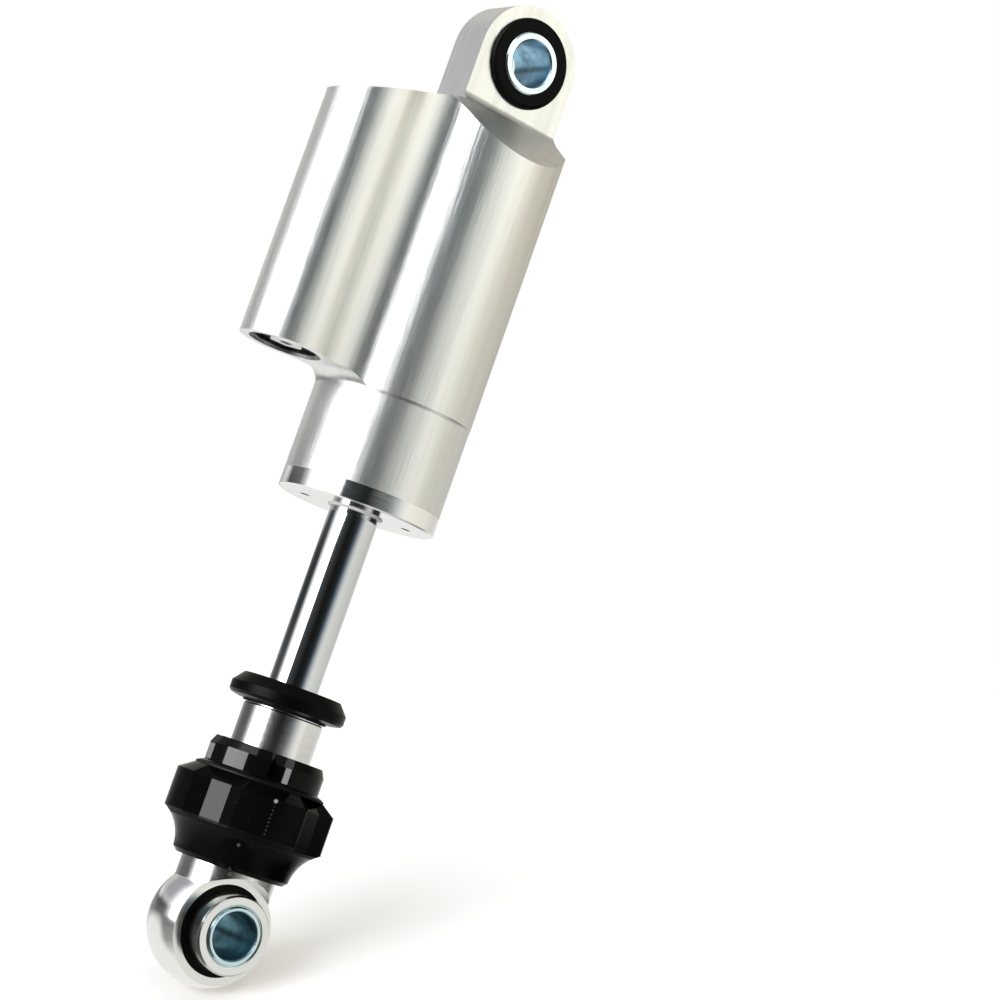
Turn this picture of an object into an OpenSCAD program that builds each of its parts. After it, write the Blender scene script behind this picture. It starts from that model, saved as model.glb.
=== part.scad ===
// Front damper of a scooter: a machined body with a side reservoir, a chromed
// rod and an eye at each end. The origin is the centre of the upper bolt hole,
// +Z runs up along the rod, the bolts lie along Y and the reservoir is on -X.
// The rod is drawn fully out. Heights are measured down from the upper bolt.

/* [Overall] */
// Upper bolt centre to the lower face of the body
body_l = 102; // [99:1:112]
// Diameter of the bolt hole through both mounting sleeves
bolt_d = 10.2; // [8.2:0.1:10.4]
// Diameter of the chromed rod
rod_d = 11; // [10:0.1:12]

/* [Body and reservoir] */
// Outside diameter of the body
body_d = 35.7; // [35:0.1:38]
// Diameter of the bore that the piston runs in
bore_d = 28; // [26:0.5:28.5]
// Upper bolt centre to the closed end of that bore
bore_top = 24.5; // [24:0.1:26]
// Outside diameter of the reservoir
res_d = 20.4; // [20:0.1:22]
// Bore of the reservoir
res_bore_d = 16.2; // [15:0.1:17]
// Distance between the reservoir's axis and the rod's axis
res_offset = 30.4; // [29.5:0.1:32]
// Radius of the hollow between the reservoir and the body
waist_r = 9; // [7:0.5:11]
// Upper bolt centre to the lower face of the reservoir
res_bottom = 79.5; // [77:0.5:84]
// Rise of the reservoir's top towards the lug, in millimetres per millimetre
top_slope = 0.36; // [0.3:0.01:0.4]
// Radius under the reservoir where it meets the body
root_r = 2.8; // [1.5:0.1:4]

/* [Upper lug] */
// Radius of the lug's round end
lug_r = 12.85; // [12.5:0.05:13.5]
// Thickness of the lug
lug_t = 11.2; // [10:0.2:12]
// Upper bolt centre to the corner where the lug's face meets the bevel
bevel_top = 13.2; // [13:0.1:14.5]
// Fall of the bevel below the lug, in millimetres per millimetre
bevel_slope = 0.8; // [0.7:0.05:0.9]
// Radius in the corner above the bevel
bevel_r = 3; // [1.5:0.5:4]
// Outside diameter of the upper mounting sleeve
upper_sleeve_d = 13.9; // [13.4:0.1:14.4]
// Length of the upper mounting sleeve
upper_sleeve_l = 14.4; // [14:0.2:16]

/* [Gland] */
// Thickness of the gland's flange
flange_t = 4.1; // [3.5:0.1:5]
// Length of the gland inside the body: the rod travels in what it leaves of the bore
gland_l = 15.95; // [14:0.05:20]
// Pitch circle of the two pin spanner holes
spanner_pcd = 23.2; // [20:0.2:26]

/* [Rod end] */
// Height of the rubber bump stop
bump_h = 5.3; // [4:0.1:7]
// Diameter of the rubber bump stop
bump_d = 25.9; // [22:0.1:28]
// Thickness of the washer under the bump stop, with the groove below it
washer_h = 0.7; // [0.6:0.1:1.2]
// Diameter of the collar that the rod is screwed into
collar_d = 17.9; // [17.5:0.1:18.5]
// Bare length of the collar above the knob
collar_l = 8.7; // [6:0.1:12]
// Diameter of the neck below the knob
neck_d = 21; // [20.6:0.1:21.4]
// Knob's lower face to the lower bolt centre
neck_l = 12.7; // [12.4:0.1:15]
// Radius of the ball shaped eye
eye_r = 13.2; // [12.8:0.1:13.6]
// Width of the eye across its flat faces
eye_w = 11.9; // [11:0.1:12.6]
// Outside diameter of the lower mounting sleeve
lower_sleeve_d = 12.7; // [12.5:0.1:13.2]
// Length of the lower mounting sleeve
lower_sleeve_l = 22.8; // [21:0.2:25]
// Outside diameter of the spacers beside the eye
spacer_d = 17.3; // [16.4:0.1:17.8]

/* [Adjuster] */
// Height of the knob with its crown
knob_h = 26.1; // [25.6:0.1:30]
// Diameter over the knob's lobes
knob_d = 35.3; // [34:0.1:37]
// Diameter of the crown
crown_d = 25.7; // [25:0.1:27]
// Turn of the knob from its rest position to the hard stop, in degrees
knob_turn = 120; // [90:15:120]
// Rise of the spindle's thread in one full turn
spindle_lead = 6; // [3:0.5:6]
// Angle of the knob's first lobe, anticlockwise from +X seen from above
lobe_angle = -106.4; // [-120:0.1:-90]
// Turn of the crown against the knob that it is pressed onto, in degrees
crown_turn = 45; // [40:1:50]

/* [Hidden] */
$fn = 96;

// Fits, as a gap on the radius, and how far a cut runs past a face
run_gap = 0.03;
free_gap = 0.3;
past = 1;

// Body
body_r = body_d / 2;
turned_r = body_r - 0.1;
bore_r = bore_d / 2;
rod_r = rod_d / 2;
res_r = res_d / 2;
res_bore_r = res_bore_d / 2;
seam_z = -res_bottom - 1.8;
spigot_r = bore_r + 1.2;
lug_bore_r = 9.6;
shoulder_slope = 1.66;
shoulder_z = -12.4;
shoulder_reach = 9;
tall = body_l + 40;

// Hollow between reservoir and body: centre of the arc that touches both circles
waist_a = body_r + waist_r;
waist_b = res_r + waist_r;
waist_x = (waist_a * waist_a - waist_b * waist_b + res_offset * res_offset) / (2 * res_offset);
waist_y = sqrt(waist_a * waist_a - waist_x * waist_x);

// Reservoir, with the height of its sloping top at the outer edge
res_edge = res_offset + res_r;
res_top = -23.9;
res_ceiling = -29;
clip_t = 0.9;
clip_z = -res_bottom + 0.6;
clip_groove_r = res_bore_r + 0.45;
cap_h = 5.6;
cap_z = clip_z + clip_t;
float_h = 6.5;
float_z = -33.5;
passage_r = 2.2;

// Gland, from the flange upwards
flange_z = -body_l - flange_t;
nut_h = 5;
shim_stack_h = 1;
piston_h = 9;
band_low = 0.28 * piston_h;
band_high = 0.72 * piston_h;
plate_h = 1.5;
bumper_h = 2.5;
end_gap = 1.5;
piston_stack_h = nut_h + 2 * shim_stack_h + piston_h + plate_h + bumper_h + 0.05;
stroke = body_l - bore_top - end_gap - piston_stack_h - gland_l;
nut_top = -bore_top - end_gap - stroke;
nut_z = nut_top - nut_h;
comp_shims_z = nut_z - shim_stack_h;
piston_z = comp_shims_z - piston_h;
reb_shims_z = piston_z - shim_stack_h;
plate_z = reb_shims_z - plate_h;
bumper_z = plate_z - bumper_h;
gland_top = bumper_z - 0.05;
head_h = gland_top - flange_z;
wiper_h = 0.15 * head_h;
lip_gap = 0.4;
seal_h = 0.18 * head_h;
bush_h = 0.25 * head_h;
seal_z = flange_z + wiper_h + 0.05 * head_h;
bush_z = seal_z + seal_h + 0.03 * head_h;
spanner_hole_d = 2.2;
spanner_angle = -31.7;
tenon_r = 4;

// Rod end, from the bump stop downwards
bump_z = flange_z - stroke - lip_gap - bump_h;
washer_t = 0.45;
collar_top = bump_z - washer_h;
crown_top = collar_top - collar_l;
knob_z = crown_top - knob_h;
eye_z = knob_z - neck_l;
eye_to_eye = -eye_z;
collar_r = collar_d / 2;
neck_r = neck_d / 2;
socket_r = 4.9;
socket_l = 9;
eye_bore_r = 10;
spot_r = sqrt(eye_r * eye_r - eye_w * eye_w / 4) + 0.15;
neck_fillet_r = 1.2;
rod_bore_r = 1.9;
needle_r = 1.5;
step_z = knob_z + 7;

// Adjuster
knob_r = knob_d / 2;
crown_r = crown_d / 2;
crown_rim_h = 1.8;
crown_rim = 0.85;
crown_lip_h = 1.25;
crown_edge_h = 0.35;
crown_foot_h = crown_rim_h + 0.3;
crown_lean = atan(crown_rim / crown_foot_h);
crown_floor = 0.869 * crown_r;
crown_half = 0.0685 * crown_r;
crown_rise = 45;
crown_z = crown_top - 6.8;
lobe_top = crown_z - 2.2;
lobe_bottom = lobe_top - 8.5;
lip_r = crown_r + 1.6;
base_r = knob_r - 4.7;
flare_r = 9.4;
flare_span = flare_r - knob_r + base_r;
flare_z = lobe_bottom - sqrt(flare_r * flare_r - flare_span * flare_span);
valley_lean = atan((knob_r - lip_r) / (crown_z - lobe_top)) - 8;
valley_rise = 22.9;
spindle_travel = spindle_lead * knob_turn / 360;
spindle_r = 3.4;
pin_r = 1;
pin_z = step_z + 1.4;
pin_half = collar_r + 2.2;
ball_r = 1.2;
ball_z = lobe_top - 0.6;
ball_gap = 0.5;

alloy = [0.80, 0.81, 0.80];
chrome = [0.72, 0.74, 0.76];
black = [0.05, 0.05, 0.055];
rubber = [0.09, 0.09, 0.09];
zinc = [0.62, 0.76, 0.84];
steel = [0.58, 0.59, 0.60];
brass = [0.78, 0.62, 0.32];
bronze = [0.60, 0.46, 0.30];

echo(eye_to_eye = eye_to_eye, spindle_travel = spindle_travel, gland_top = gland_top);

// Cylinder between two heights
module rod_z(r, low, high) {
    translate([0, 0, low])
        cylinder(r = r, h = high - low);
}

// Ring between two heights
module ring_z(r_in, r_out, low, high) {
    difference() {
        rod_z(r_out, low, high);
        rod_z(r_in, low - past, high + past);
    }
}

// Cylinder lying along Y, centred on the bolt axis at height z
module rod_y(r, length, z) {
    translate([0, 0, z])
        rotate([90, 0, 0])
            cylinder(r = r, h = length, center = true);
}

// Ring lying along Y, between two distances from the middle plane
module ring_y(r_in, r_out, near, far, z) {
    translate([0, 0, z])
        rotate([90, 0, 0])
            difference() {
                translate([0, 0, near])
                    cylinder(r = r_out, h = far - near);
                translate([0, 0, near - past])
                    cylinder(r = r_in, h = far - near + 2 * past);
            }
}

// Sleeve along Y with both ends of its bore chamfered
module mount_sleeve(r_in, r_out, length, z, edge = 0.35) {
    translate([0, 0, z])
        rotate([90, 0, 0])
            rotate_extrude()
                polygon([
                    [r_in + edge, -length / 2],
                    [r_out - edge, -length / 2],
                    [r_out, -length / 2 + edge],
                    [r_out, length / 2 - edge],
                    [r_out - edge, length / 2],
                    [r_in + edge, length / 2],
                    [r_in, length / 2 - edge],
                    [r_in, -length / 2 + edge]
                ]);
}

// Closed ring of round section about the Z axis
module o_ring(r, section, z) {
    translate([0, 0, z])
        rotate_extrude()
            translate([r, 0])
                circle(r = section, $fn = 32);
}

// Body seen from above: two circles joined through a hollow waist
module body_outline() {
    circle(r = body_r);
    translate([-res_offset, 0])
        circle(r = res_r);
    difference() {
        polygon([
            [-waist_x * body_r / waist_a, -waist_y * body_r / waist_a],
            [-waist_x * body_r / waist_a, waist_y * body_r / waist_a],
            [-res_offset + (res_offset - waist_x) * res_r / waist_b, waist_y * res_r / waist_b],
            [-res_offset + (res_offset - waist_x) * res_r / waist_b, -waist_y * res_r / waist_b]
        ]);
        for (side = [-1, 1])
            translate([-waist_x, side * waist_y])
                circle(r = waist_r);
    }
}

// Body seen from the front: lug, sloping top on the left, shoulder on the right
module front_profile() {
    circle(r = lug_r);
    polygon([
        [-lug_r, 0],
        [lug_r, 0],
        [lug_r, shoulder_z],
        [lug_r + shoulder_reach, shoulder_z - shoulder_slope * shoulder_reach],
        [lug_r + shoulder_reach, -tall],
        [-tall / 2, -tall],
        [-tall / 2, res_top - top_slope * (tall / 2 - res_edge)],
        [-lug_r, res_top + top_slope * (res_edge - lug_r)]
    ]);
}

// Rounded corner between the lug's face and the bevel, on the +Y side
module bevel_corner() {
    fall = atan(bevel_slope);
    reach = bevel_r * tan((90 - fall) / 2);
    centre = [lug_t / 2 + bevel_r, -bevel_top + reach];
    difference() {
        polygon([
            [lug_t / 2 - 0.5, -bevel_top - 0.5],
            [lug_t / 2 - 0.5, centre[1]],
            [lug_t / 2, centre[1]],
            centre,
            [lug_t / 2 + reach * cos(fall), -bevel_top - reach * sin(fall)],
            [lug_t / 2 + reach * cos(fall), -bevel_top - reach * sin(fall) - 0.5]
        ]);
        translate(centre)
            circle(r = bevel_r);
    }
}

// Body seen from the side: the lug's flat faces and the bevels below them
module side_profile() {
    edge = body_r + 4;
    polygon([
        [-lug_t / 2, lug_r + past],
        [lug_t / 2, lug_r + past],
        [lug_t / 2, -bevel_top],
        [edge, -bevel_top - bevel_slope * (edge - lug_t / 2)],
        [edge, -tall],
        [-edge, -tall],
        [-edge, -bevel_top - bevel_slope * (edge - lug_t / 2)],
        [-lug_t / 2, -bevel_top]
    ]);
    bevel_corner();
    mirror([1, 0])
        bevel_corner();
}

// Upper billet before it is bored
module body_blank() {
    intersection() {
        translate([0, 0, -res_bottom])
            linear_extrude(height = res_bottom + lug_r + past)
                body_outline();
        rotate([90, 0, 0])
            linear_extrude(height = 3 * body_d, center = true)
                front_profile();
        rotate([90, 0, 90])
            linear_extrude(height = 6 * body_d, center = true)
                side_profile();
    }
}

// Rounded root under the reservoir, kept to the body's outline
module reservoir_root() {
    intersection() {
        translate([0, 0, -res_bottom - root_r])
            linear_extrude(height = root_r + past)
                body_outline();
        rotate_extrude()
            difference() {
                polygon([
                    [turned_r - past, -res_bottom - root_r],
                    [turned_r, -res_bottom - root_r],
                    [turned_r + root_r, -res_bottom - root_r],
                    [turned_r + root_r, -res_bottom],
                    [turned_r + root_r, -res_bottom + past],
                    [turned_r - past, -res_bottom + past]
                ]);
                translate([turned_r + root_r, -res_bottom - root_r])
                    circle(r = root_r);
            }
    }
}

module main_body() {
    color(alloy)
        difference() {
            union() {
                body_blank();
                reservoir_root();
                rod_z(body_r, seam_z, -res_bottom + past);
                rod_z(turned_r, -body_l, seam_z + past / 2);
            }
            rod_z(bore_r, -body_l - past, -bore_top);
            rod_z(spigot_r, -body_l - past, gland_top - 0.5);
            translate([-res_offset, 0, 0]) {
                rod_z(res_bore_r, -res_bottom - past, res_ceiling);
                rod_z(clip_groove_r, clip_z, clip_z + clip_t);
            }
            oil_passage();
            rod_y(lug_bore_r, lug_t + 2 * past, 0);
        }
}

// Drilling that joins the top of the bore to the top of the reservoir
module oil_passage() {
    translate([-res_offset, 0, res_ceiling - passage_r])
        rotate([0, 78, 0])
            cylinder(r = passage_r, h = res_offset - bore_r + 4);
}

module upper_sleeve() {
    color(zinc)
        mount_sleeve(bolt_d / 2, upper_sleeve_d / 2, upper_sleeve_l, 0);
}

// Rubber bush with a rounded lip against each face of the lug
module upper_rubber_bush() {
    inner = upper_sleeve_d / 2 + run_gap;
    lip = 10.1;
    lip_t = 1.3;
    half = lug_t / 2;
    color(rubber)
        rotate([90, 0, 0])
            rotate_extrude()
                union() {
                    translate([inner, -half])
                        square([lug_bore_r - inner, lug_t]);
                    for (side = [-1, 1])
                        difference() {
                            translate([inner, side > 0 ? half : -half - lip_t])
                                square([lip - inner, lip_t]);
                            translate([lip, side * (half + lip_t)])
                                difference() {
                                    square(2 * lip_t * 0.8, center = true);
                                    translate([-0.8 * lip_t, -side * 0.8 * lip_t])
                                        circle(r = 0.8 * lip_t);
                                }
                        }
                }
}

module gland_head() {
    color(alloy)
        difference() {
            union() {
                translate([0, 0, flange_z])
                    cylinder(r1 = turned_r - 0.35, r2 = turned_r, h = 0.35);
                rod_z(turned_r, flange_z + 0.35, -body_l);
                rod_z(spigot_r, -body_l - past, gland_top - 0.5);
                rod_z(bore_r - 0.05, gland_top - past, gland_top);
            }
            rod_z(rod_r + free_gap, flange_z - past, gland_top + past);
            rod_z(rod_r + 0.8, flange_z - past, flange_z + 1);
            rod_z(rod_r + 2.3, flange_z + 0.8, flange_z + wiper_h);
            rod_z(rod_r + 2.3, seal_z, seal_z + seal_h);
            rod_z(rod_r + 1.2, bush_z, bush_z + bush_h);
            difference() {
                rod_z(spigot_r + past, -body_l + 2, -body_l + 4);
                rod_z(spigot_r - 1, -body_l + 1, -body_l + 5);
            }
            for (turn = [0, 180])
                rotate(spanner_angle + turn)
                    translate([spanner_pcd / 2, 0, flange_z - past])
                        cylinder(d = spanner_hole_d, h = past + 2.5);
        }
}

module gland_o_ring() {
    color(rubber)
        ring_z(spigot_r - 1, spigot_r, -body_l + 2.1, -body_l + 3.9);
}

module rod_guide_bush() {
    color(bronze)
        ring_z(rod_r + run_gap, rod_r + 1.2, bush_z, bush_z + bush_h);
}

module rod_seal() {
    color(rubber)
        difference() {
            ring_z(rod_r + run_gap, rod_r + 2.3, seal_z, seal_z + seal_h);
            ring_z(rod_r + 0.8, rod_r + 1.5, seal_z + seal_h - 1.2, seal_z + seal_h + past);
        }
}

module rod_wiper() {
    color(rubber)
        union() {
            ring_z(rod_r + run_gap, rod_r + 2.3, flange_z + 0.8, flange_z + wiper_h);
            ring_z(rod_r + run_gap, rod_r + 0.7, flange_z - lip_gap + 0.1, flange_z + 1);
        }
}

module reservoir_end_cap() {
    color(black)
        translate([-res_offset, 0, 0])
            difference() {
                rod_z(res_bore_r, cap_z, cap_z + cap_h);
                ring_z(res_bore_r - 1.1, res_bore_r + past, cap_z + 2.4, cap_z + 4.2);
                rod_z(2.5, cap_z - past, cap_z + cap_h + past);
                rod_z(res_bore_r - 3.4, cap_z - past, cap_z + 0.8);
            }
}

module end_cap_o_ring() {
    color(rubber)
        translate([-res_offset, 0, 0])
            ring_z(res_bore_r - 1.1, res_bore_r, cap_z + 2.5, cap_z + 4.1);
}

// Spring clip with the gap that its pliers need
module reservoir_circlip() {
    color(steel)
        translate([-res_offset, 0, 0])
            difference() {
                ring_z(res_bore_r - 1.15, clip_groove_r, clip_z, clip_z + clip_t);
                rotate(150)
                    translate([res_bore_r, 0, clip_z])
                        cube([4, 2.4, 4 * clip_t], center = true);
            }
}

module gas_plug() {
    color(steel)
        translate([-res_offset, 0, 0]) {
            rod_z(2.5, cap_z + 0.8, cap_z + cap_h);
            difference() {
                translate([0, 0, cap_z - 0.7])
                    cylinder(r = 4, h = 1.5, $fn = 6);
                rod_z(1.3, cap_z - past, cap_z);
            }
        }
}

module floating_piston() {
    color(black)
        translate([-res_offset, 0, 0])
            difference() {
                rod_z(res_bore_r - 0.06, float_z - float_h, float_z);
                ring_z(res_bore_r - 1.3, res_bore_r + past, float_z - 4.2, float_z - 2.2);
                rod_z(res_bore_r - 2.6, float_z - float_h - past, float_z - 4.6);
            }
}

module floating_piston_ring() {
    color(rubber)
        translate([-res_offset, 0, 0])
            ring_z(res_bore_r - 1.3, res_bore_r - run_gap, float_z - 4.2, float_z - 2.2);
}

// Hollow rod: a tenon for the piston on top, a thread into the collar below
module piston_rod() {
    color(chrome)
        difference() {
            union() {
                rod_z(rod_r, collar_top, plate_z);
                rod_z(tenon_r, plate_z - past, nut_top);
                rod_z(socket_r, collar_top - socket_l, collar_top + past);
            }
            rod_z(rod_bore_r, collar_top - socket_l - past, nut_top + past);
            for (turn = [0, 90])
                rotate([0, 0, turn])
                    translate([0, 0, plate_z - 6])
                        rotate([0, 90, 0])
                            cylinder(r = 1, h = 2 * rod_r + 2 * past, center = true);
        }
}

module top_out_bumper() {
    color(rubber)
        ring_z(rod_r, rod_r + 4.5, bumper_z, plate_z);
}

module top_out_plate() {
    color(steel)
        ring_z(tenon_r, bore_r - 3, plate_z, reb_shims_z);
}

// Stack of thin discs, largest against the piston
module shims(low, up) {
    count = 4;
    step = shim_stack_h / count;
    for (i = [0 : count - 1]) {
        rank = up ? i : count - 1 - i;
        ring_z(tenon_r, bore_r - 3.2 - 1.3 * rank, low + i * step, low + (i + 0.98) * step);
    }
}

module rebound_shims() {
    color(steel)
        shims(reb_shims_z, false);
}

module compression_shims() {
    color(steel)
        shims(comp_shims_z, true);
}

module piston() {
    port_pcr = bore_r - 5.2;
    color(brass)
        difference() {
            rod_z(bore_r - 0.25, piston_z, comp_shims_z);
            rod_z(tenon_r, piston_z - past, comp_shims_z + past);
            ring_z(bore_r - 1.5, bore_r + past, piston_z + band_low, piston_z + band_high);
            for (i = [0 : 5])
                rotate(60 * i)
                    translate([port_pcr, 0, piston_z - past])
                        cylinder(r = 1.3, h = piston_h + 2 * past);
        }
}

module piston_band() {
    color(bronze)
        ring_z(bore_r - 1.5, bore_r - run_gap, piston_z + band_low, piston_z + band_high);
}

module piston_nut() {
    color(steel)
        difference() {
            translate([0, 0, nut_z])
                cylinder(r = 1.8 * tenon_r, h = nut_h, $fn = 6);
            rod_z(tenon_r, nut_z - past, nut_top + past);
        }
}

module bump_stop() {
    top = bump_z + bump_h;
    r = bump_d / 2;
    color(rubber)
        rotate_extrude()
            polygon([
                [rod_r, bump_z],
                [r - 2.2, bump_z],
                [r - 0.5, bump_z + 0.4],
                [r, bump_z + 1],
                [r, top - 2.4],
                [r - 2, top],
                [rod_r, top]
            ]);
}

module bump_washer() {
    color(black)
        ring_z(rod_r, collar_r + 0.45, bump_z - washer_t, bump_z);
}

// Slots in the collar that the drive pin sweeps through
module drive_slots() {
    low = pin_z - pin_r - 0.15;
    high = pin_z + spindle_travel + pin_r + 0.15;
    lead_in = asin((pin_r + 0.25) / spindle_r);
    for (side = [0, 180])
        rotate(lobe_angle + side - lead_in)
            rotate_extrude(angle = knob_turn + 2 * lead_in)
                translate([spindle_r - 1, low])
                    square([collar_r, high - low]);
}

module rod_end() {
    edge = 0.3;
    color(alloy)
        difference() {
            union() {
                rod_z(collar_r, step_z, collar_top - edge);
                translate([0, 0, collar_top - edge])
                    cylinder(r1 = collar_r, r2 = collar_r - edge, h = edge);
                rod_z(collar_r - 1, collar_top - edge, collar_top + washer_h - washer_t);
                rotate_extrude()
                    neck_and_ball();
            }
            eye_spot_faces();
            rod_z(rod_r, collar_top, collar_top + past);
            rod_z(socket_r, collar_top - socket_l, collar_top + past);
            rod_z(spindle_r + run_gap, pin_z - pin_r - 1.2, collar_top - socket_l + past);
            drive_slots();
            ring_z(collar_r - 0.8, collar_r + past, crown_z - 1.15, crown_z - 0.25);
            detent_hole();
            index_hole();
            rod_y(eye_bore_r, 4 * eye_r, eye_z);
        }
}

// The neck is spot faced beside the eye, so that the eye keeps its round flat faces
module eye_spot_faces() {
    difference() {
        rod_y(spot_r, 4 * eye_r, eye_z);
        rod_y(spot_r + past, eye_w, eye_z);
    }
}

// Half section of the round neck, the ball and the small concave ring between them
module neck_and_ball() {
    reach = neck_r + neck_fillet_r;
    span = eye_r + neck_fillet_r;
    rise = sqrt(span * span - reach * reach);
    translate([0, eye_z])
        intersection() {
            union() {
                circle(r = eye_r);
                square([neck_r, step_z - eye_z]);
                difference() {
                    polygon([
                        [neck_r - past, rise],
                        [reach, rise],
                        [reach * eye_r / span, rise * eye_r / span],
                        [neck_r - past, rise - 2 * past]
                    ]);
                    translate([reach, rise])
                        circle(r = neck_fillet_r);
                }
            }
            translate([0, -2 * eye_r])
                square([2 * eye_r, 6 * eye_r]);
        }
}

module detent_hole() {
    translate([0, 0, ball_z])
        rotate([0, 90, 100])
            translate([0, 0, spindle_r + 0.9])
                cylinder(r = ball_r + 0.05, h = collar_r);
}

// Small coil spring behind the ball, drawn as its closed outer shape
module detent_spring() {
    color(steel)
        translate([0, 0, ball_z])
            rotate([0, 90, 100])
                translate([0, 0, spindle_r + 0.9])
                    difference() {
                        cylinder(r = ball_r, h = collar_r - spindle_r - 0.9 - 2 * ball_r + 0.35);
                        translate([0, 0, 0.4])
                            cylinder(r = ball_r - 0.4, h = collar_r);
                    }
}

module detent_ball() {
    color(steel)
        translate([0, 0, ball_z])
            rotate([0, 90, 100])
                translate([0, 0, collar_r - ball_r + 0.35])
                    sphere(r = ball_r, $fn = 48);
}

module index_hole() {
    translate([0, 0, knob_z - 0.8])
        rotate([90, 0, -29])
            cylinder(r = 0.5, h = neck_r + past);
}

module index_pin() {
    color(steel)
        difference() {
            translate([0, 0, knob_z - 0.8])
                rotate([90, 0, -29])
                    cylinder(r = 0.5, h = neck_r + 0.12);
            rod_z(neck_r - 2, knob_z - 3, knob_z + 1);
        }
}

module lower_rubber_bush() {
    color(rubber)
        ring_y(lower_sleeve_d / 2 + run_gap, eye_bore_r, -eye_w / 2 + 0.7, eye_w / 2 - 0.7, eye_z);
}

// Outer shape of the knob: base, hollow flare, the lobes' height and a cone
module knob_turning() {
    rotate_extrude()
        difference() {
            polygon([
                [0, knob_z],
                [knob_r, knob_z],
                [knob_r, lobe_top],
                [lip_r, crown_z],
                [0, crown_z]
            ]);
            translate([base_r + flare_r, flare_z])
                circle(r = flare_r);
            translate([base_r, knob_z - past])
                square([2 * flare_r, flare_z - knob_z + past]);
            polygon([
                [base_r - 0.9 - past, knob_z - past],
                [base_r + 3, knob_z - past],
                [base_r + 3, knob_z + 3.9]
            ]);
        }
}

// One valley between two lobes: a flat floor with slanting walls, out at +X
module valley(floor_x, floor_half, rise, wall_reach) {
    linear_extrude(height = knob_h + 2 * past)
        polygon([
            [floor_x, -floor_half],
            [floor_x, floor_half],
            [floor_x + wall_reach * sin(rise), floor_half + wall_reach * cos(rise)],
            [floor_x + 3 * wall_reach, floor_half + wall_reach * cos(rise)],
            [floor_x + 3 * wall_reach, -floor_half - wall_reach * cos(rise)],
            [floor_x + wall_reach * sin(rise), -floor_half - wall_reach * cos(rise)]
        ]);
}

module valleys(floor_x, floor_half, rise, wall_reach, low) {
    for (i = [0 : 3])
        rotate(lobe_angle + 45 + 90 * i)
            translate([0, 0, low])
                valley(floor_x, floor_half, rise, wall_reach);
}

// Half space above a leaning plane whose foot stands at a distance from the axis
module leaning_side(angle, distance, lean) {
    rotate(angle)
        translate([distance, 0, 0])
            rotate([0, -lean, 0])
                translate([0, -2 * knob_r, -knob_r])
                    cube([2 * knob_r, 4 * knob_r, 2 * knob_r]);
}

// Upper part of a valley, where its floor and walls lean towards the axis
module leaning_valley(floor_x, floor_half, rise, lean, foot) {
    wall_x = floor_x * cos(rise) - floor_half * sin(rise);
    translate([0, 0, foot])
        intersection() {
            leaning_side(0, floor_x, lean);
            leaning_side(rise, wall_x, lean);
            leaning_side(-rise, wall_x, lean);
            rod_z(2 * knob_r, -0.5, knob_h);
        }
}

module leaning_valleys(floor_x, floor_half, rise, lean, foot) {
    for (i = [0 : 3])
        rotate(lobe_angle + 45 + 90 * i)
            leaning_valley(floor_x, floor_half, rise, lean, foot);
}

module adjuster_knob() {
    color(black)
        difference() {
            knob_turning();
            valleys(knob_r - 2.6, 2.5, valley_rise, 6, lobe_bottom - 0.5);
            leaning_valleys(knob_r - 2.6, 2.5, valley_rise, valley_lean, lobe_top - 0.3);
            rod_z(collar_r + run_gap, knob_z - past, crown_z + past);
            rod_z(neck_r + run_gap, knob_z - past, step_z + run_gap);
            rod_z(collar_r + 1.6, crown_z - 1.3, crown_z + past);
            knob_slots();
            ring_z(collar_r - past, collar_r + 0.5, ball_z - 1.1, ball_z + 1.1);
            detent_dimples();
        }
}

// Axial slots inside the knob for the ends of the drive pin
module knob_slots() {
    low = pin_z - pin_r - 0.1;
    high = pin_z + spindle_travel + pin_r + 0.1;
    for (side = [0, 180])
        rotate(lobe_angle + side)
            translate([0, -pin_r - 0.05, low])
                cube([pin_half + 0.3, 2 * pin_r + 0.1, high - low]);
}

// One dimple for each click, fifteen degrees apart
module detent_dimples() {
    for (i = [0 : knob_turn / 15])
        translate([0, 0, ball_z])
            rotate([0, 90, 100 - 15 * i])
                translate([0, 0, collar_r])
                    cylinder(r = 0.9, h = 0.5 + ball_gap);
}

module knob_crown() {
    color(black)
        difference() {
            union() {
                rod_z(crown_r, crown_z, crown_top - crown_rim_h);
                translate([0, 0, crown_top - crown_rim_h])
                    cylinder(r1 = crown_r, r2 = crown_r - crown_rim, h = crown_rim_h);
                rod_z(lip_r, crown_z, crown_z + crown_edge_h);
                translate([0, 0, crown_z + crown_edge_h])
                    cylinder(r1 = lip_r, r2 = crown_r - 0.1, h = crown_lip_h - crown_edge_h);
            }
            rotate(crown_turn) {
                valleys(crown_floor, crown_half, crown_rise, 6, crown_z + crown_lip_h + 0.1);
                leaning_valleys(crown_floor, crown_half, crown_rise, crown_lean,
                    crown_top - crown_foot_h);
            }
            rod_z(collar_r + run_gap, crown_z - past, crown_top + past);
        }
}

module knob_circlip() {
    color(steel)
        difference() {
            ring_z(collar_r - 0.8, collar_r + 1.3, crown_z - 1.1, crown_z - 0.3);
            rotate(45)
                translate([collar_r, 0, crown_z - 0.7])
                    cube([6, 3, 3], center = true);
        }
}

// Threaded spindle inside the collar: it rises as the knob turns it
module adjuster_spindle() {
    color(brass)
        difference() {
            union() {
                rod_z(spindle_r, pin_z - pin_r - 0.9, pin_z + 6.4);
                rod_z(rod_bore_r - 0.1, pin_z + 6, pin_z + 9);
            }
            rotate(lobe_angle)
                translate([0, 0, pin_z])
                    rotate([0, 90, 0])
                        cylinder(r = pin_r, h = 4 * spindle_r, center = true);
            ring_z(spindle_r - 0.8, spindle_r + past, pin_z + 3.2, pin_z + 4.6);
        }
}

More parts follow.
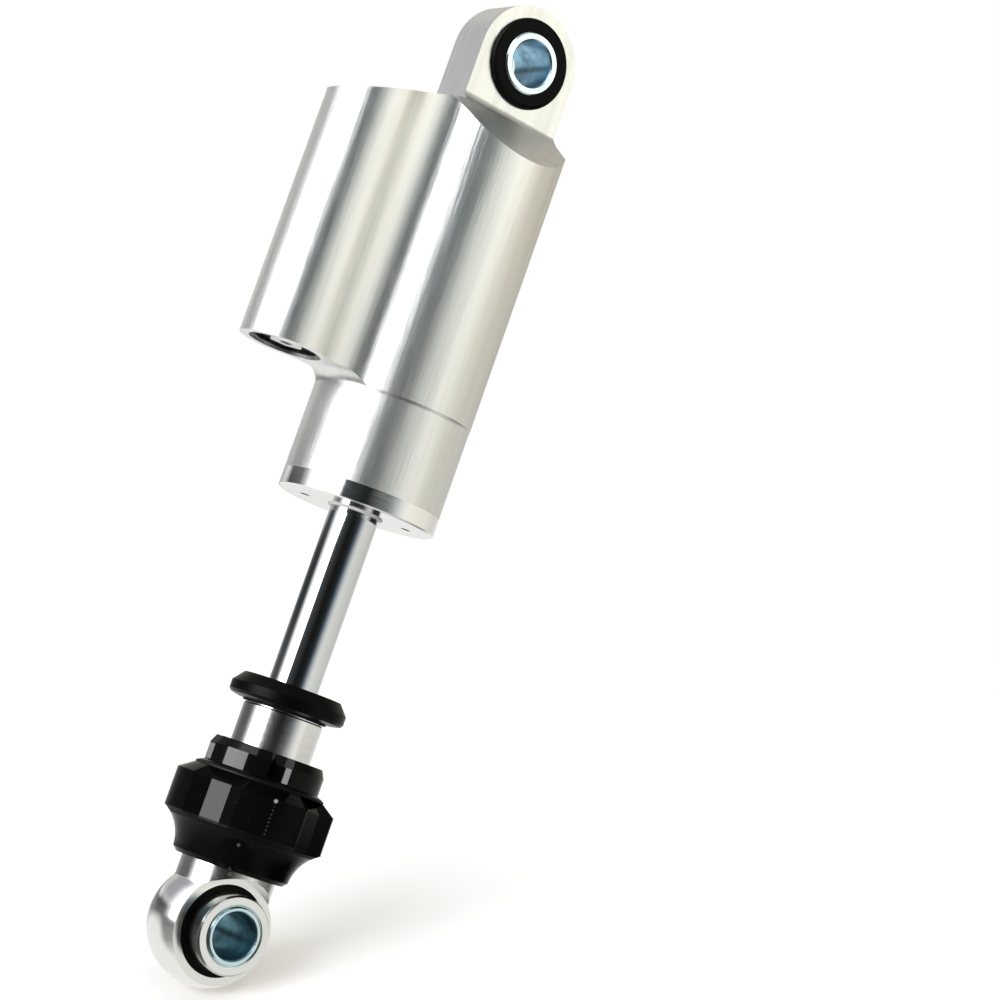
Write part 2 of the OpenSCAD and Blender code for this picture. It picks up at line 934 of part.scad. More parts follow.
module drive_pin() {
    color(steel)
        rotate(lobe_angle)
            translate([0, 0, pin_z])
                rotate([0, 90, 0])
                    cylinder(r = pin_r, h = 2 * pin_half, center = true);
}

module spindle_o_ring() {
    color(rubber)
        ring_z(spindle_r - 0.8, spindle_r + 0.01, pin_z + 3.3, pin_z + 4.5);
}

// Long needle inside the rod, tapered where it meets the bleed hole
module needle_rod() {
    color(steel)
        union() {
            rod_z(needle_r, pin_z + 9, nut_z - 3);
            translate([0, 0, nut_z - 3])
                cylinder(r1 = needle_r, r2 = 0.4, h = 3);
        }
}

module lower_sleeve() {
    color(zinc)
        mount_sleeve(bolt_d / 2, lower_sleeve_d / 2, lower_sleeve_l, eye_z);
}

// Spacer between the eye's rubber and the end of the sleeve
module spacer() {
    near = eye_w / 2 - 0.7 + run_gap;
    far = lower_sleeve_l / 2 - 0.3;
    edge = 0.4;
    rotate([90, 0, 0])
        rotate_extrude()
            polygon([
                [lower_sleeve_d / 2, near],
                [spacer_d / 2, near],
                [spacer_d / 2, far - edge],
                [spacer_d / 2 - edge, far],
                [lower_sleeve_d / 2 + edge, far],
                [lower_sleeve_d / 2, far - edge]
            ]);
}

module front_spacer() {
    color(alloy)
        translate([0, 0, eye_z])
            spacer();
}

module rear_spacer() {
    color(alloy)
        translate([0, 0, eye_z])
            mirror([0, 1, 0])
                spacer();
}

upper_sleeve();
upper_rubber_bush();
main_body();
gland_head();
gland_o_ring();
rod_guide_bush();
rod_seal();
rod_wiper();
reservoir_end_cap();
end_cap_o_ring();
reservoir_circlip();
gas_plug();
floating_piston();
floating_piston_ring();
piston_rod();
top_out_bumper();
top_out_plate();
rebound_shims();
piston();
piston_band();
compression_shims();
piston_nut();
bump_stop();
bump_washer();
rod_end();
detent_spring();
detent_ball();
index_pin();
lower_rubber_bush();
adjuster_knob();
knob_crown();
knob_circlip();
adjuster_spindle();
drive_pin();
needle_rod();
spindle_o_ring();
lower_sleeve();
front_spacer();
rear_spacer();
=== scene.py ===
import bpy
import math
from mathutils import Matrix, Vector

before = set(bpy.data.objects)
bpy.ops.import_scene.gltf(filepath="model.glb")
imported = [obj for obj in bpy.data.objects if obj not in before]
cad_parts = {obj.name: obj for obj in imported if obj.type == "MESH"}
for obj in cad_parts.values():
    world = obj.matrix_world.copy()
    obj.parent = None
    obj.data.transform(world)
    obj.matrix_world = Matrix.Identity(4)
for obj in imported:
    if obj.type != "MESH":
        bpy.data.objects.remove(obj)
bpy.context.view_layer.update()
scene = bpy.context.scene

# The upper bolt is the origin, the lower bolt stands this far below it
LOWER_EYE = -0.2
# Radius of the bolt holes
BOLT_HOLE = 0.0051
# Height of the thin lip under the crown's lobes
CROWN_LIP = -0.1672
# Height of the ledge where the knob's lobes end
KNOB_LEDGE = -0.1793
# World angle of the direction from the damper's axis towards the camera
TOWARD_CAMERA = -121.74
# Brightness of the tall softbox in the picture that metal shows
SOFTBOX = 7.0
# Plain light that reaches rubber, paint and floor from all round
ROOM_LIGHT = 0.42
# Powers of the three soft lamps
ENAMEL_POWER = 34.0
KEY_POWER = 13.0
TOP_POWER = 6.0
# What the camera sees the ground give off, so that it stays nearly white and keeps the shadow
GROUND_GLOW = (0.31, 0.265, 0.185)
# How far the ground leans from the picture's upright, in degrees
GROUND_TILT = 12
# Reach of the ground round the lower eye
GROUND_RADIUS = 0.34


def camera():
    eye = Vector((-0.30786, -0.49765, -0.16963))
    aim = Vector((0.02329, -0.01711, -0.09332))
    roll = math.radians(-19.145)
    data = bpy.data.cameras.new("camera")
    data.sensor_width = 36
    data.lens = 97.281
    ob = bpy.data.objects.new("camera", data)
    scene.collection.objects.link(ob)
    forward = (aim - eye).normalized()
    right = forward.cross(Vector((0, 0, 1))).normalized()
    up = right.cross(forward)
    tilted_up = up * math.cos(roll) + right * math.sin(roll)
    tilted_right = forward.cross(tilted_up)
    turn = Matrix((tilted_right, tilted_up, -forward)).transposed()
    ob.matrix_world = Matrix.Translation(eye) @ turn.to_4x4()
    data.clip_start = 0.01
    data.clip_end = 20
    scene.camera = ob
    return tilted_up, forward


# Short hands for shader nodes: each takes sockets or plain numbers and returns a socket

class Graph:
    def __init__(self, tree):
        self.tree = tree

    def add(self, kind, **settings):
        made = self.tree.nodes.new("ShaderNode" + kind)
        for key, value in settings.items():
            setattr(made, key, value)
        return made

    def put(self, socket, value):
        if isinstance(value, bpy.types.NodeSocket):
            self.tree.links.new(value, socket)
        else:
            socket.default_value = value

    def math(self, operation, a, b=0.0):
        made = self.add("Math", operation=operation)
        for socket, value in zip(made.inputs, (a, b)):
            self.put(socket, value)
        return made.outputs[0]

    def fit(self, value, low, high, out_low=0.0, out_high=1.0, smooth=False):
        made = self.add("MapRange", clamp=True)
        made.interpolation_type = "SMOOTHSTEP" if smooth else "LINEAR"
        for socket, given in zip(made.inputs, (value, low, high, out_low, out_high)):
            self.put(socket, given)
        return made.outputs[0]

    def mix(self, factor, a, b, blend="MIX"):
        made = self.add("Mix", data_type="RGBA", blend_type=blend)
        self.put(made.inputs[0], factor)
        for socket, value in ((made.inputs[6], a), (made.inputs[7], b)):
            if not isinstance(value, bpy.types.NodeSocket):
                value = (*value, 1.0)
            self.put(socket, value)
        return made.outputs[2]

    def ramp(self, factor, stops):
        made = self.add("ValToRGB")
        points = made.color_ramp.elements
        while len(points) < len(stops):
            points.new(0.5)
        for point, (place, colour) in zip(points, stops):
            point.position = place
            if not isinstance(colour, tuple):
                colour = (colour, colour, colour)
            point.color = (*colour, 1.0)
        self.put(made.inputs[0], factor)
        return made.outputs[0]

    def place(self):
        return self.add("TexCoord").outputs["Object"]

    def scaled(self, vector, x, y, z):
        made = self.add("Mapping")
        self.put(made.inputs["Vector"], vector)
        made.inputs["Scale"].default_value = (x, y, z)
        return made.outputs[0]

    def noise(self, vector, scale=1.0, detail=2.0, roughness=0.5, distortion=0.0):
        made = self.add("TexNoise", noise_dimensions="3D")
        self.put(made.inputs["Vector"], vector)
        self.put(made.inputs["Scale"], scale)
        self.put(made.inputs["Detail"], detail)
        self.put(made.inputs["Roughness"], roughness)
        self.put(made.inputs["Distortion"], distortion)
        return made.outputs[0]

    def noise_1d(self, value, scale=1.0, detail=2.0, roughness=0.5):
        made = self.add("TexNoise", noise_dimensions="1D")
        self.put(made.inputs["W"], value)
        self.put(made.inputs["Scale"], scale)
        self.put(made.inputs["Detail"], detail)
        self.put(made.inputs["Roughness"], roughness)
        return made.outputs[0]

    def split(self, vector):
        made = self.add("SeparateXYZ")
        self.put(made.inputs[0], vector)
        return made.outputs

    def length(self, a, b):
        squares = [self.math("MULTIPLY", side, side) for side in (a, b)]
        return self.math("SQRT", self.math("ADD", *squares))

    def bump(self, height, strength, distance, under=None):
        made = self.add("Bump")
        made.inputs["Strength"].default_value = strength
        made.inputs["Distance"].default_value = distance
        self.put(made.inputs["Height"], height)
        if under is not None:
            self.put(made.inputs["Normal"], under)
        return made.outputs[0]


def new_material(name, metallic, gloss=0.5):
    made = bpy.data.materials.new(name)
    made.use_nodes = True
    graph = Graph(made.node_tree)
    shader = made.node_tree.nodes["Principled BSDF"]
    shader.inputs["Metallic"].default_value = metallic
    shader.inputs["Specular IOR Level"].default_value = gloss
    return made, graph, shader


def turned_height(graph, z_centre=None):
    """Place along a turning's profile: rings on its walls and circles on its end faces.
    Without a centre the turning runs round Z, else round a bolt axis at that height."""
    x, y, z = graph.split(graph.place())
    if z_centre is None:
        return graph.math("ADD", z, graph.length(x, y))
    return graph.math("ADD", y, graph.length(x, graph.math("SUBTRACT", z, z_centre)))


def scratches(graph, x, y, z, amount=0.012):
    """Mask of a few hairlines, drawn out along the axis with the small scale"""
    lines = graph.noise(graph.scaled(graph.place(), x, y, z), detail=1.0)
    return graph.fit(graph.math("ABSOLUTE", graph.math("SUBTRACT", lines, 0.66)), 0.0, amount, 1.0, 0.0)


def satin_body():
    """Anodised aluminium, milled lengthwise: ragged streaks, soft waves and bright hairlines"""
    made, g, shader = new_material("satin_anodised", 1.0)
    place = g.place()
    fine = g.noise(g.scaled(place, 2600, 2600, 70), detail=3.0, roughness=0.7)
    ragged = g.noise(g.scaled(place, 1300, 1300, 60), detail=2.0, roughness=0.5)
    broad = g.noise(g.scaled(place, 420, 420, 16), detail=2.0)
    cloud = g.noise(place, 38.0, 3.0)
    hairs = g.noise(g.scaled(place, 1500, 1500, 70), detail=1.0)
    hairs = g.fit(g.math("ABSOLUTE", g.math("SUBTRACT", hairs, 0.5)), 0.0, 0.015, 1.0, 0.0)
    patches = g.fit(g.noise(g.scaled(place, 110, 110, 60), detail=1.0), 0.63, 0.68)
    hairs = g.math("MULTIPLY", hairs, patches)
    grain = g.math("ADD", g.fit(broad, 0.3, 0.7, 0.0, 0.55), g.fit(fine, 0.3, 0.7, 0.0, 0.45))
    tone = g.mix(grain, (0.72, 0.723, 0.71), (0.88, 0.883, 0.867))
    tone = g.mix(g.math("MULTIPLY", hairs, 0.5), tone, (0.95, 0.95, 0.94))
    g.put(shader.inputs["Base Color"], tone)
    rough = g.math("ADD", g.fit(fine, 0.25, 0.75, 0.275, 0.345), g.fit(cloud, 0.3, 0.7, -0.005, 0.01))
    g.put(shader.inputs["Roughness"], g.math("ADD", rough, g.math("MULTIPLY", hairs, 0.25)))
    height = g.math("ADD", g.math("MULTIPLY", fine, 2.8),
                    g.math("ADD", g.math("MULTIPLY", broad, 0.7), g.math("MULTIPLY", ragged, 0.12)))
    g.put(shader.inputs["Normal"], g.bump(height, 0.19, 0.00010))
    return made


def turned_metal(name, colour, shade, low, high, z_centre=None, rings=2600, depth=0.10):
    """Metal from the lathe: feed marks in rings, with clouds where it was handled"""
    made, g, shader = new_material(name, 1.0)
    run = turned_height(g, z_centre)
    fine = g.noise_1d(run, rings, 2.0, 0.6)
    broad = g.noise_1d(run, rings / 9, 1.0)
    cloud = g.noise(g.place(), 70.0, 3.0)
    g.put(shader.inputs["Base Color"], g.mix(g.fit(cloud, 0.3, 0.7), shade, colour))
    rough = g.math("ADD", g.fit(fine, 0.3, 0.7, low, high), g.fit(cloud, 0.35, 0.7, 0.0, 0.05))
    g.put(shader.inputs["Roughness"], rough)
    height = g.math("ADD", fine, g.math("MULTIPLY", broad, 0.8))
    g.put(shader.inputs["Normal"], g.bump(height, depth, 0.00005))
    return made


def rod_end_metal():
    """One turned piece with milled flats: rings round Z, circles round the eye on its faces"""
    made, g, shader = new_material("turned_rod_end", 1.0)
    upright = turned_height(g)
    eye = turned_height(g, LOWER_EYE)
    facing = g.math("ABSOLUTE", g.split(g.add("TexCoord").outputs["Normal"])[1])
    on_face = g.fit(facing, 0.985, 0.995)
    run = g.math("ADD", g.math("MULTIPLY", upright, g.math("SUBTRACT", 1.0, on_face)),
                 g.math("MULTIPLY", eye, on_face))
    fine = g.noise_1d(run, 2400, 2.0, 0.6)
    cloud = g.noise(g.place(), 80.0, 3.0)
    g.put(shader.inputs["Base Color"],
          g.mix(g.fit(cloud, 0.3, 0.7), (0.80, 0.80, 0.79), (0.84, 0.84, 0.83)))
    rough = g.math("ADD", g.fit(fine, 0.3, 0.7, 0.12, 0.18), g.fit(cloud, 0.35, 0.7, 0.0, 0.03))
    g.put(shader.inputs["Roughness"], rough)
    g.put(shader.inputs["Normal"], g.bump(fine, 0.12, 0.00005))
    return made


def chrome():
    """Hard chrome: near mirror, with faint polishing rings, wipe marks and hairlines"""
    made, g, shader = new_material("hard_chrome", 1.0)
    run = turned_height(g)
    rings = g.noise_1d(run, 5200, 2.0)
    wipe = g.noise(g.scaled(g.place(), 140, 140, 30), detail=3.0)
    lines = scratches(g, 420, 420, 26, 0.006)
    g.put(shader.inputs["Base Color"],
          g.mix(g.fit(wipe, 0.3, 0.7), (0.63, 0.65, 0.67), (0.67, 0.69, 0.71)))
    rough = g.math("ADD", g.fit(wipe, 0.4, 0.75, 0.025, 0.06), g.math("MULTIPLY", lines, 0.10))
    g.put(shader.inputs["Roughness"], rough)
    g.put(shader.inputs["Normal"], g.bump(rings, 0.02, 0.00002))
    return made


def zinc(name, z_centre, bore_shade):
    """Blue passivated zinc: the colour drifts between pale cyan and lilac. The bore is painted darker,
    as painted shade in the hole
    """
    made, g, shader = new_material(name, 1.0)
    x, y, z = g.split(g.place())
    run = turned_height(g, z_centre)
    fine = g.noise_1d(run, 1100, 2.0, 0.6)
    drift = g.noise(g.place(), 95.0, 3.0, 0.5, 0.6)
    outside = g.ramp(drift, [(0.30, (0.52, 0.70, 0.80)), (0.48, (0.66, 0.84, 0.90)),
                             (0.62, (0.70, 0.86, 0.90)), (0.75, (0.64, 0.74, 0.88))])
    stain = g.noise(g.place(), 260.0, 4.0, 0.65)
    # Painted shade: the bore's colour is darker than the outside, and darker still in patches
    deeper_bore_shade = tuple(c * 0.45 for c in bore_shade)
    bore_shade_tone = g.mix(g.fit(stain, 0.36, 0.64), deeper_bore_shade, bore_shade)
    from_axis = g.length(x, g.math("SUBTRACT", z, z_centre))
    in_bore = g.fit(from_axis, BOLT_HOLE + 0.0001, BOLT_HOLE + 0.0004, 1.0, 0.0)
    g.put(shader.inputs["Base Color"], g.mix(in_bore, outside, bore_shade_tone))
    rough = g.math("ADD", g.fit(fine, 0.3, 0.7, 0.15, 0.22), g.math("MULTIPLY", in_bore, 0.12))
    g.put(shader.inputs["Roughness"], rough)
    g.put(shader.inputs["Normal"], g.bump(fine, 0.08, 0.00005))
    return made


def gloss_black(name, marks, gloss):
    """Gloss black enamel with dust and polishing hairlines; the knob carries index marks"""
    made, g, shader = new_material(name, 0.0, gloss)
    place = g.place()
    dust = g.noise(place, 2600.0, 2.0)
    specks = g.fit(dust, 0.70, 0.74)
    peel = g.noise(place, 420.0, 2.0)
    lines = scratches(g, 900, 900, 40, 0.008)
    tone = g.mix(g.math("MULTIPLY", specks, 0.12), (0.0012, 0.0012, 0.0013), (0.05, 0.05, 0.05))
    if marks:
        tone = g.mix(index_marks(g, place), tone, (0.80, 0.80, 0.78))
    g.put(shader.inputs["Base Color"], tone)
    rough = g.math("ADD", g.fit(peel, 0.3, 0.7, 0.045, 0.075), g.math("MULTIPLY", lines, 0.08))
    z = g.split(place)[2]
    if marks:
        from_ledge = g.math("ABSOLUTE", g.math("SUBTRACT", z, KNOB_LEDGE))
        rough = g.math("ADD", rough, g.fit(from_ledge, 0.0008, 0.0005, 0.0, 0.5))
    else:
        rough = g.math("ADD", rough, g.fit(z, CROWN_LIP, CROWN_LIP - 0.0001, 0.0, 0.5))
    g.put(shader.inputs["Roughness"], rough)
    g.put(shader.inputs["Normal"], g.bump(peel, 0.02, 0.00008))
    return made


def index_marks(g, place):
    """A white dot at the top of one lobe, a fine dotted line below it and a small dot on the skirt"""
    lobe_radius, skirt_radius = 0.01765, 0.0150
    dot_height, low_dot_height = -0.1706, -0.1817
    beads_per_metre, bead_pitch = 1150.0, 0.0009
    lobe_middle = math.radians(TOWARD_CAMERA + 15.0)
    skirt_middle = math.radians(TOWARD_CAMERA + 1.0)
    x, y, z = g.split(place)
    angle = g.math("ARCTAN2", y, x)
    from_axis = g.length(x, y)
    around = g.math("MULTIPLY", g.math("SUBTRACT", angle, lobe_middle), lobe_radius)
    dot = g.fit(g.length(around, g.math("SUBTRACT", z, dot_height)), 0.00028, 0.00054, 0.22, 0.0)
    row = g.math("FRACT", g.math("MULTIPLY", z, beads_per_metre))
    row = g.math("ABSOLUTE", g.math("SUBTRACT", row, 0.5))
    beads = g.fit(g.length(around, g.math("MULTIPLY", row, bead_pitch)), 0.00008, 0.00020, 0.05, 0.0)
    below = g.math("MULTIPLY", g.fit(z, -0.1716, -0.1720), g.fit(z, -0.1786, -0.1782))
    outer = g.math("MAXIMUM", dot, g.math("MULTIPLY", beads, below))
    outer = g.math("MULTIPLY", outer, g.math("GREATER_THAN", from_axis, 0.0172))
    along = g.math("MULTIPLY", g.math("SUBTRACT", angle, skirt_middle), skirt_radius)
    low_dot = g.fit(g.length(along, g.math("SUBTRACT", z, low_dot_height)), 0.00020, 0.00046, 0.05, 0.0)
    low_dot = g.math("MULTIPLY", low_dot, g.math("GREATER_THAN", from_axis, 0.0130))
    return g.math("MAXIMUM", outer, low_dot)


def rubber(name, tone, low, high, grain, depth):
    """Moulded rubber: fine grain, a little bloom and dust"""
    made, g, shader = new_material(name, 0.0, 0.06)
    place = g.place()
    pores = g.noise(place, grain, 3.0, 0.6)
    bloom = g.noise(place, 120.0, 3.0)
    pale = tuple(c * 1.9 for c in tone)
    g.put(shader.inputs["Base Color"], g.mix(g.fit(bloom, 0.35, 0.75), tone, pale))
    g.put(shader.inputs["Roughness"], g.fit(bloom, 0.3, 0.7, low, high))
    g.put(shader.inputs["Normal"], g.bump(pores, depth, 0.0001))
    return made


def black_anodised():
    made, g, shader = new_material("black_anodised", 0.3, 0.3)
    run = turned_height(g)
    fine = g.noise_1d(run, 2400, 2.0, 0.6)
    cloud = g.noise(g.place(), 90.0, 3.0)
    g.put(shader.inputs["Base Color"],
          g.mix(g.fit(cloud, 0.3, 0.7), (0.010, 0.010, 0.011), (0.022, 0.022, 0.024)))
    g.put(shader.inputs["Roughness"], g.fit(fine, 0.3, 0.7, 0.24, 0.40))
    g.put(shader.inputs["Normal"], g.bump(fine, 0.15, 0.00005))
    return made


def dress(material, *names):
    for name in names:
        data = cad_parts[name].data
        data.materials.clear()
        data.materials.append(material)


def environment(ground_normal):
    """A pale room with black cards round the camera and one tall softbox at the left, as metal
    shows it. The picture of it runs round Z; the camera sees plain white."""
    world = bpy.data.worlds.new("studio")
    scene.world = world
    world.use_nodes = True
    tree = world.node_tree
    g = Graph(tree)
    x, y, z = g.split(g.add("TexCoord").outputs["Generated"])
    turn = math.radians(TOWARD_CAMERA)
    # Angle round Z measured from the camera, brought to 0..1 with the camera at the middle
    side = g.math("SUBTRACT",
                  g.math("MULTIPLY", y, math.cos(turn)), g.math("MULTIPLY", x, math.sin(turn)))
    ahead = g.math("ADD",
                   g.math("MULTIPLY", x, math.cos(turn)), g.math("MULTIPLY", y, math.sin(turn)))
    straight = g.math("ADD", g.math("DIVIDE", g.math("ARCTAN2", side, ahead), 2 * math.pi), 0.5)
    # Above the cards' edge the whole room stands a little further round
    share = g.math("SUBTRACT", straight, g.fit(z, 0.094, 0.118, 0.0, 6.5 / 360))

    def at(angle):
        return angle / 360 + 0.5

    def round_z(place, stops):
        """Ramp round Z, its stops in degrees from the camera"""
        return g.ramp(place, [(at(angle), value) for angle, value in stops])

    # Black cards round the camera, blue at the side where the room shows
    room = round_z(share, [
        (-180, 0.10), (-150, 0.08), (-130, 0.045), (-108, 0.11), (-36, (0.08, 0.09, 0.10)),
        (-20, 0.05), (0, 0.012), (20, 0.02), (36, (0.03, 0.07, 0.10)), (56, (0.10, 0.17, 0.22)),
        (80, 0.10), (180, 0.10)])
    # Pale walls above the cards, warm at the far right, brightest in the panel at the right
    walls = round_z(share, [
        (-180, (0.50, 0.47, 0.40)), (-165, (0.60, 0.59, 0.54)), (-145, (0.65, 0.65, 0.61)),
        (-125, (0.62, 0.62, 0.60)), (-96, (0.68, 0.69, 0.71)),
        (-88, (0.02, 0.05, 0.065)), (-20, (0.02, 0.05, 0.065)), (4, (0.02, 0.05, 0.065)),
        (26, (1.32, 1.34, 1.26)), (58, (1.34, 1.33, 1.18)),
        (78, (1.05, 1.02, 0.86)), (92, (0.66, 0.62, 0.50)), (180, (0.50, 0.47, 0.40))])
    # The walls change with height: lilac and dim at the left, a dark strip high at the right
    left_top = round_z(share, [(-150, 1.0), (-138, (0.66, 0.66, 0.71)), (-96, (0.66, 0.67, 0.73)),
                              (-90, 1.0), (28, 1.0), (40, 1.22), (76, 1.22), (90, 1.0)])
    walls = g.mix(g.fit(z, 0.21, 0.27), walls, g.mix(1.0, walls, left_top, "MULTIPLY"))
    strip = round_z(share, [(20, 0.0), (50, 1.0), (128, 1.0), (150, 0.0)])
    strip = g.math("MULTIPLY", strip, g.math("MULTIPLY", g.fit(z, 0.42, 0.52), g.fit(z, 0.94, 0.80)))
    walls = g.mix(g.math("MULTIPLY", strip, 0.75), walls, (0.16, 0.16, 0.15))
    walls = g.mix(g.fit(z, 0.72, 0.88), walls, (0.46, 0.44, 0.43))
    metal_view = g.mix(g.fit(z, 0.10, 0.20, 0.0, 1.0, True), room, walls)
    # A bright sill low at the far left
    sill = round_z(share, [(-180, 1.7), (-150, 1.7), (-130, 0.0), (160, 0.0), (175, 1.7)])
    sill_reach = g.math("MULTIPLY", g.fit(z, 0.094, 0.110), g.fit(z, 0.145, 0.19, 1.0, 0.0))
    metal_view = g.mix(sill_reach, metal_view, g.mix(1.0, metal_view, sill, "LIGHTEN"))
    wider = g.math("SUBTRACT", share, g.fit(z, 0.098, 0.125, 0.0, 4.0 / 360))
    softbox = round_z(straight, [(-99, 0.0), (-90, 0.05), (-81, 0.16), (-74, 0.55), (-66, 1.0)])
    softbox = g.math("MULTIPLY", softbox, g.fit(wider, at(-37), at(-43)))
    reach = g.math("MULTIPLY", g.fit(z, -0.16, -0.09), g.fit(z, 0.78, 0.86, 1.0, 0.0))
    glow = g.math("MULTIPLY", g.math("MULTIPLY", softbox, reach), SOFTBOX)
    metal_view = g.mix(1.0, metal_view, glow, "ADD")
    # The pale ground: its tone at the horizon and close below, dark in front of the camera
    far = round_z(share, [
        (-180, 0.70), (-170, 0.50), (-150, 0.30), (-130, 0.20), (-112, 0.20), (-60, 0.40),
        (-30, 0.05), (29, 0.05), (52, 0.72), (66, (0.96, 0.96, 0.91)), (90, (0.92, 0.90, 0.80)),
        (110, (0.86, 0.84, 0.75)), (130, (0.66, 0.65, 0.60)), (150, (0.70, 0.69, 0.64)),
        (168, 0.85), (180, 0.70)])
    near = round_z(share, [
        (-180, 0.86), (-60, 0.86), (-30, 0.10), (30, 0.10), (54, 0.80), (180, 0.86)])
    parts = [g.math("MULTIPLY", a, b) for a, b in zip((x, y, z), ground_normal)]
    rise = g.math("ADD", parts[0], g.math("ADD", parts[1], parts[2]))
    near = g.mix(g.fit(rise, -0.80, -0.95), near, (0.60, 0.60, 0.59))
    ground = g.mix(g.fit(rise, -0.25, -0.60), far, near)
    # Close to the part at the left it is bright
    lit = round_z(share, [(-180, 1.0), (-104, 1.0), (-92, 0.0), (150, 0.0), (175, 1.0)])
    ground = g.mix(g.math("MULTIPLY", lit, g.fit(z, -0.06, -0.17)), ground, (0.95, 0.95, 0.93))
    # A dark patch on the ground at the right, low down: painted shade, which darkens the rod end's neck
    # at the right below the knob
    shape = round_z(share, [(62, 0.0), (88, 1.0), (128, 1.0), (152, 0.0)])
    shape = g.math("MULTIPLY", shape, g.math("MULTIPLY", g.fit(z, 0.0, -0.018), g.fit(z, -0.80, -0.50)))
    ground = g.mix(shape, ground, (0.035, 0.035, 0.03))
    # A pale edge of the table shows in front of it
    edge = round_z(share, [(-8, 0.0), (8, 1.0), (44, 1.0), (56, 0.0)])
    edge = g.math("MULTIPLY", edge, g.math("MULTIPLY", g.fit(z, -0.005, -0.02), g.fit(z, -0.09, -0.06)))
    ground = g.mix(edge, ground, (0.60, 0.59, 0.56))
    level = g.math("MULTIPLY", g.fit(rise, 0.28, -0.10, 0.0, 1.0, True), g.fit(z, 0.22, 0.12))
    metal_view = g.mix(level, metal_view, ground)
    # The far left is dimmer just under the sill
    shade = round_z(share, [(-180, 0.55), (-104, 0.55), (-94, 1.0), (160, 1.0), (180, 0.55)])
    shade_reach = g.math("MULTIPLY", g.fit(z, 0.045, 0.070), g.fit(z, 0.100, 0.090))
    metal_view = g.mix(shade_reach, metal_view, g.mix(1.0, metal_view, shade, "MULTIPLY"))

    rays = g.add("LightPath")
    mirrored = g.math("MAXIMUM", rays.outputs["Is Glossy Ray"], rays.outputs["Is Transmission Ray"])
    colour = g.mix(mirrored, (ROOM_LIGHT, ROOM_LIGHT, ROOM_LIGHT), metal_view)
    colour = g.mix(rays.outputs["Is Camera Ray"], colour, (1.0, 1.0, 1.0))
    back = tree.nodes["Background"]
    g.put(back.inputs["Color"], colour)
    back.inputs["Strength"].default_value = 1.0
    world.cycles.sampling_method = "NONE"


def lamp(name, place, aim, wide, high, power):
    """Soft lamp that lights paint, rubber and floor; metal sees the world's softbox instead"""
    data = bpy.data.lights.new(name, "AREA")
    data.shape = "RECTANGLE"
    data.size = wide
    data.size_y = high
    data.energy = power
    ob = bpy.data.objects.new(name, data)
    ob.location = place
    ob.rotation_mode = "QUATERNION"
    ob.rotation_quaternion = (Vector(aim) - Vector(place)).to_track_quat("-Z", "Y")
    ob.visible_camera = False
    ob.visible_glossy = False
    ob.visible_transmission = False
    scene.collection.objects.link(ob)


def enamel_lamp(power):
    """The softbox again for the black enamel alone, which it lifts out of the dark"""
    left_of_camera, away, above_eye, wide, high = 62, 1.0, 0.16, 0.88, 0.42
    turn = math.radians(TOWARD_CAMERA - left_of_camera)
    out = Vector((math.cos(turn), math.sin(turn), 0.0))
    across = Vector((-math.sin(turn), math.cos(turn), 0.0))
    place = out * away + Vector((0, 0, LOWER_EYE + above_eye))
    data = bpy.data.lights.new("enamel", "AREA")
    data.shape = "RECTANGLE"
    data.size = wide
    data.size_y = high
    data.energy = power
    ob = bpy.data.objects.new("enamel", data)
    facing = Matrix((across, Vector((0, 0, 1)), out)).transposed().to_4x4()
    ob.matrix_world = Matrix.Translation(place) @ facing
    ob.visible_camera = False
    scene.collection.objects.link(ob)
    group = bpy.data.collections.new("enamel_pieces")
    for name in ("adjuster_knob", "knob_crown"):
        group.objects.link(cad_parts[name])
    ob.light_linking.receiver_collection = group


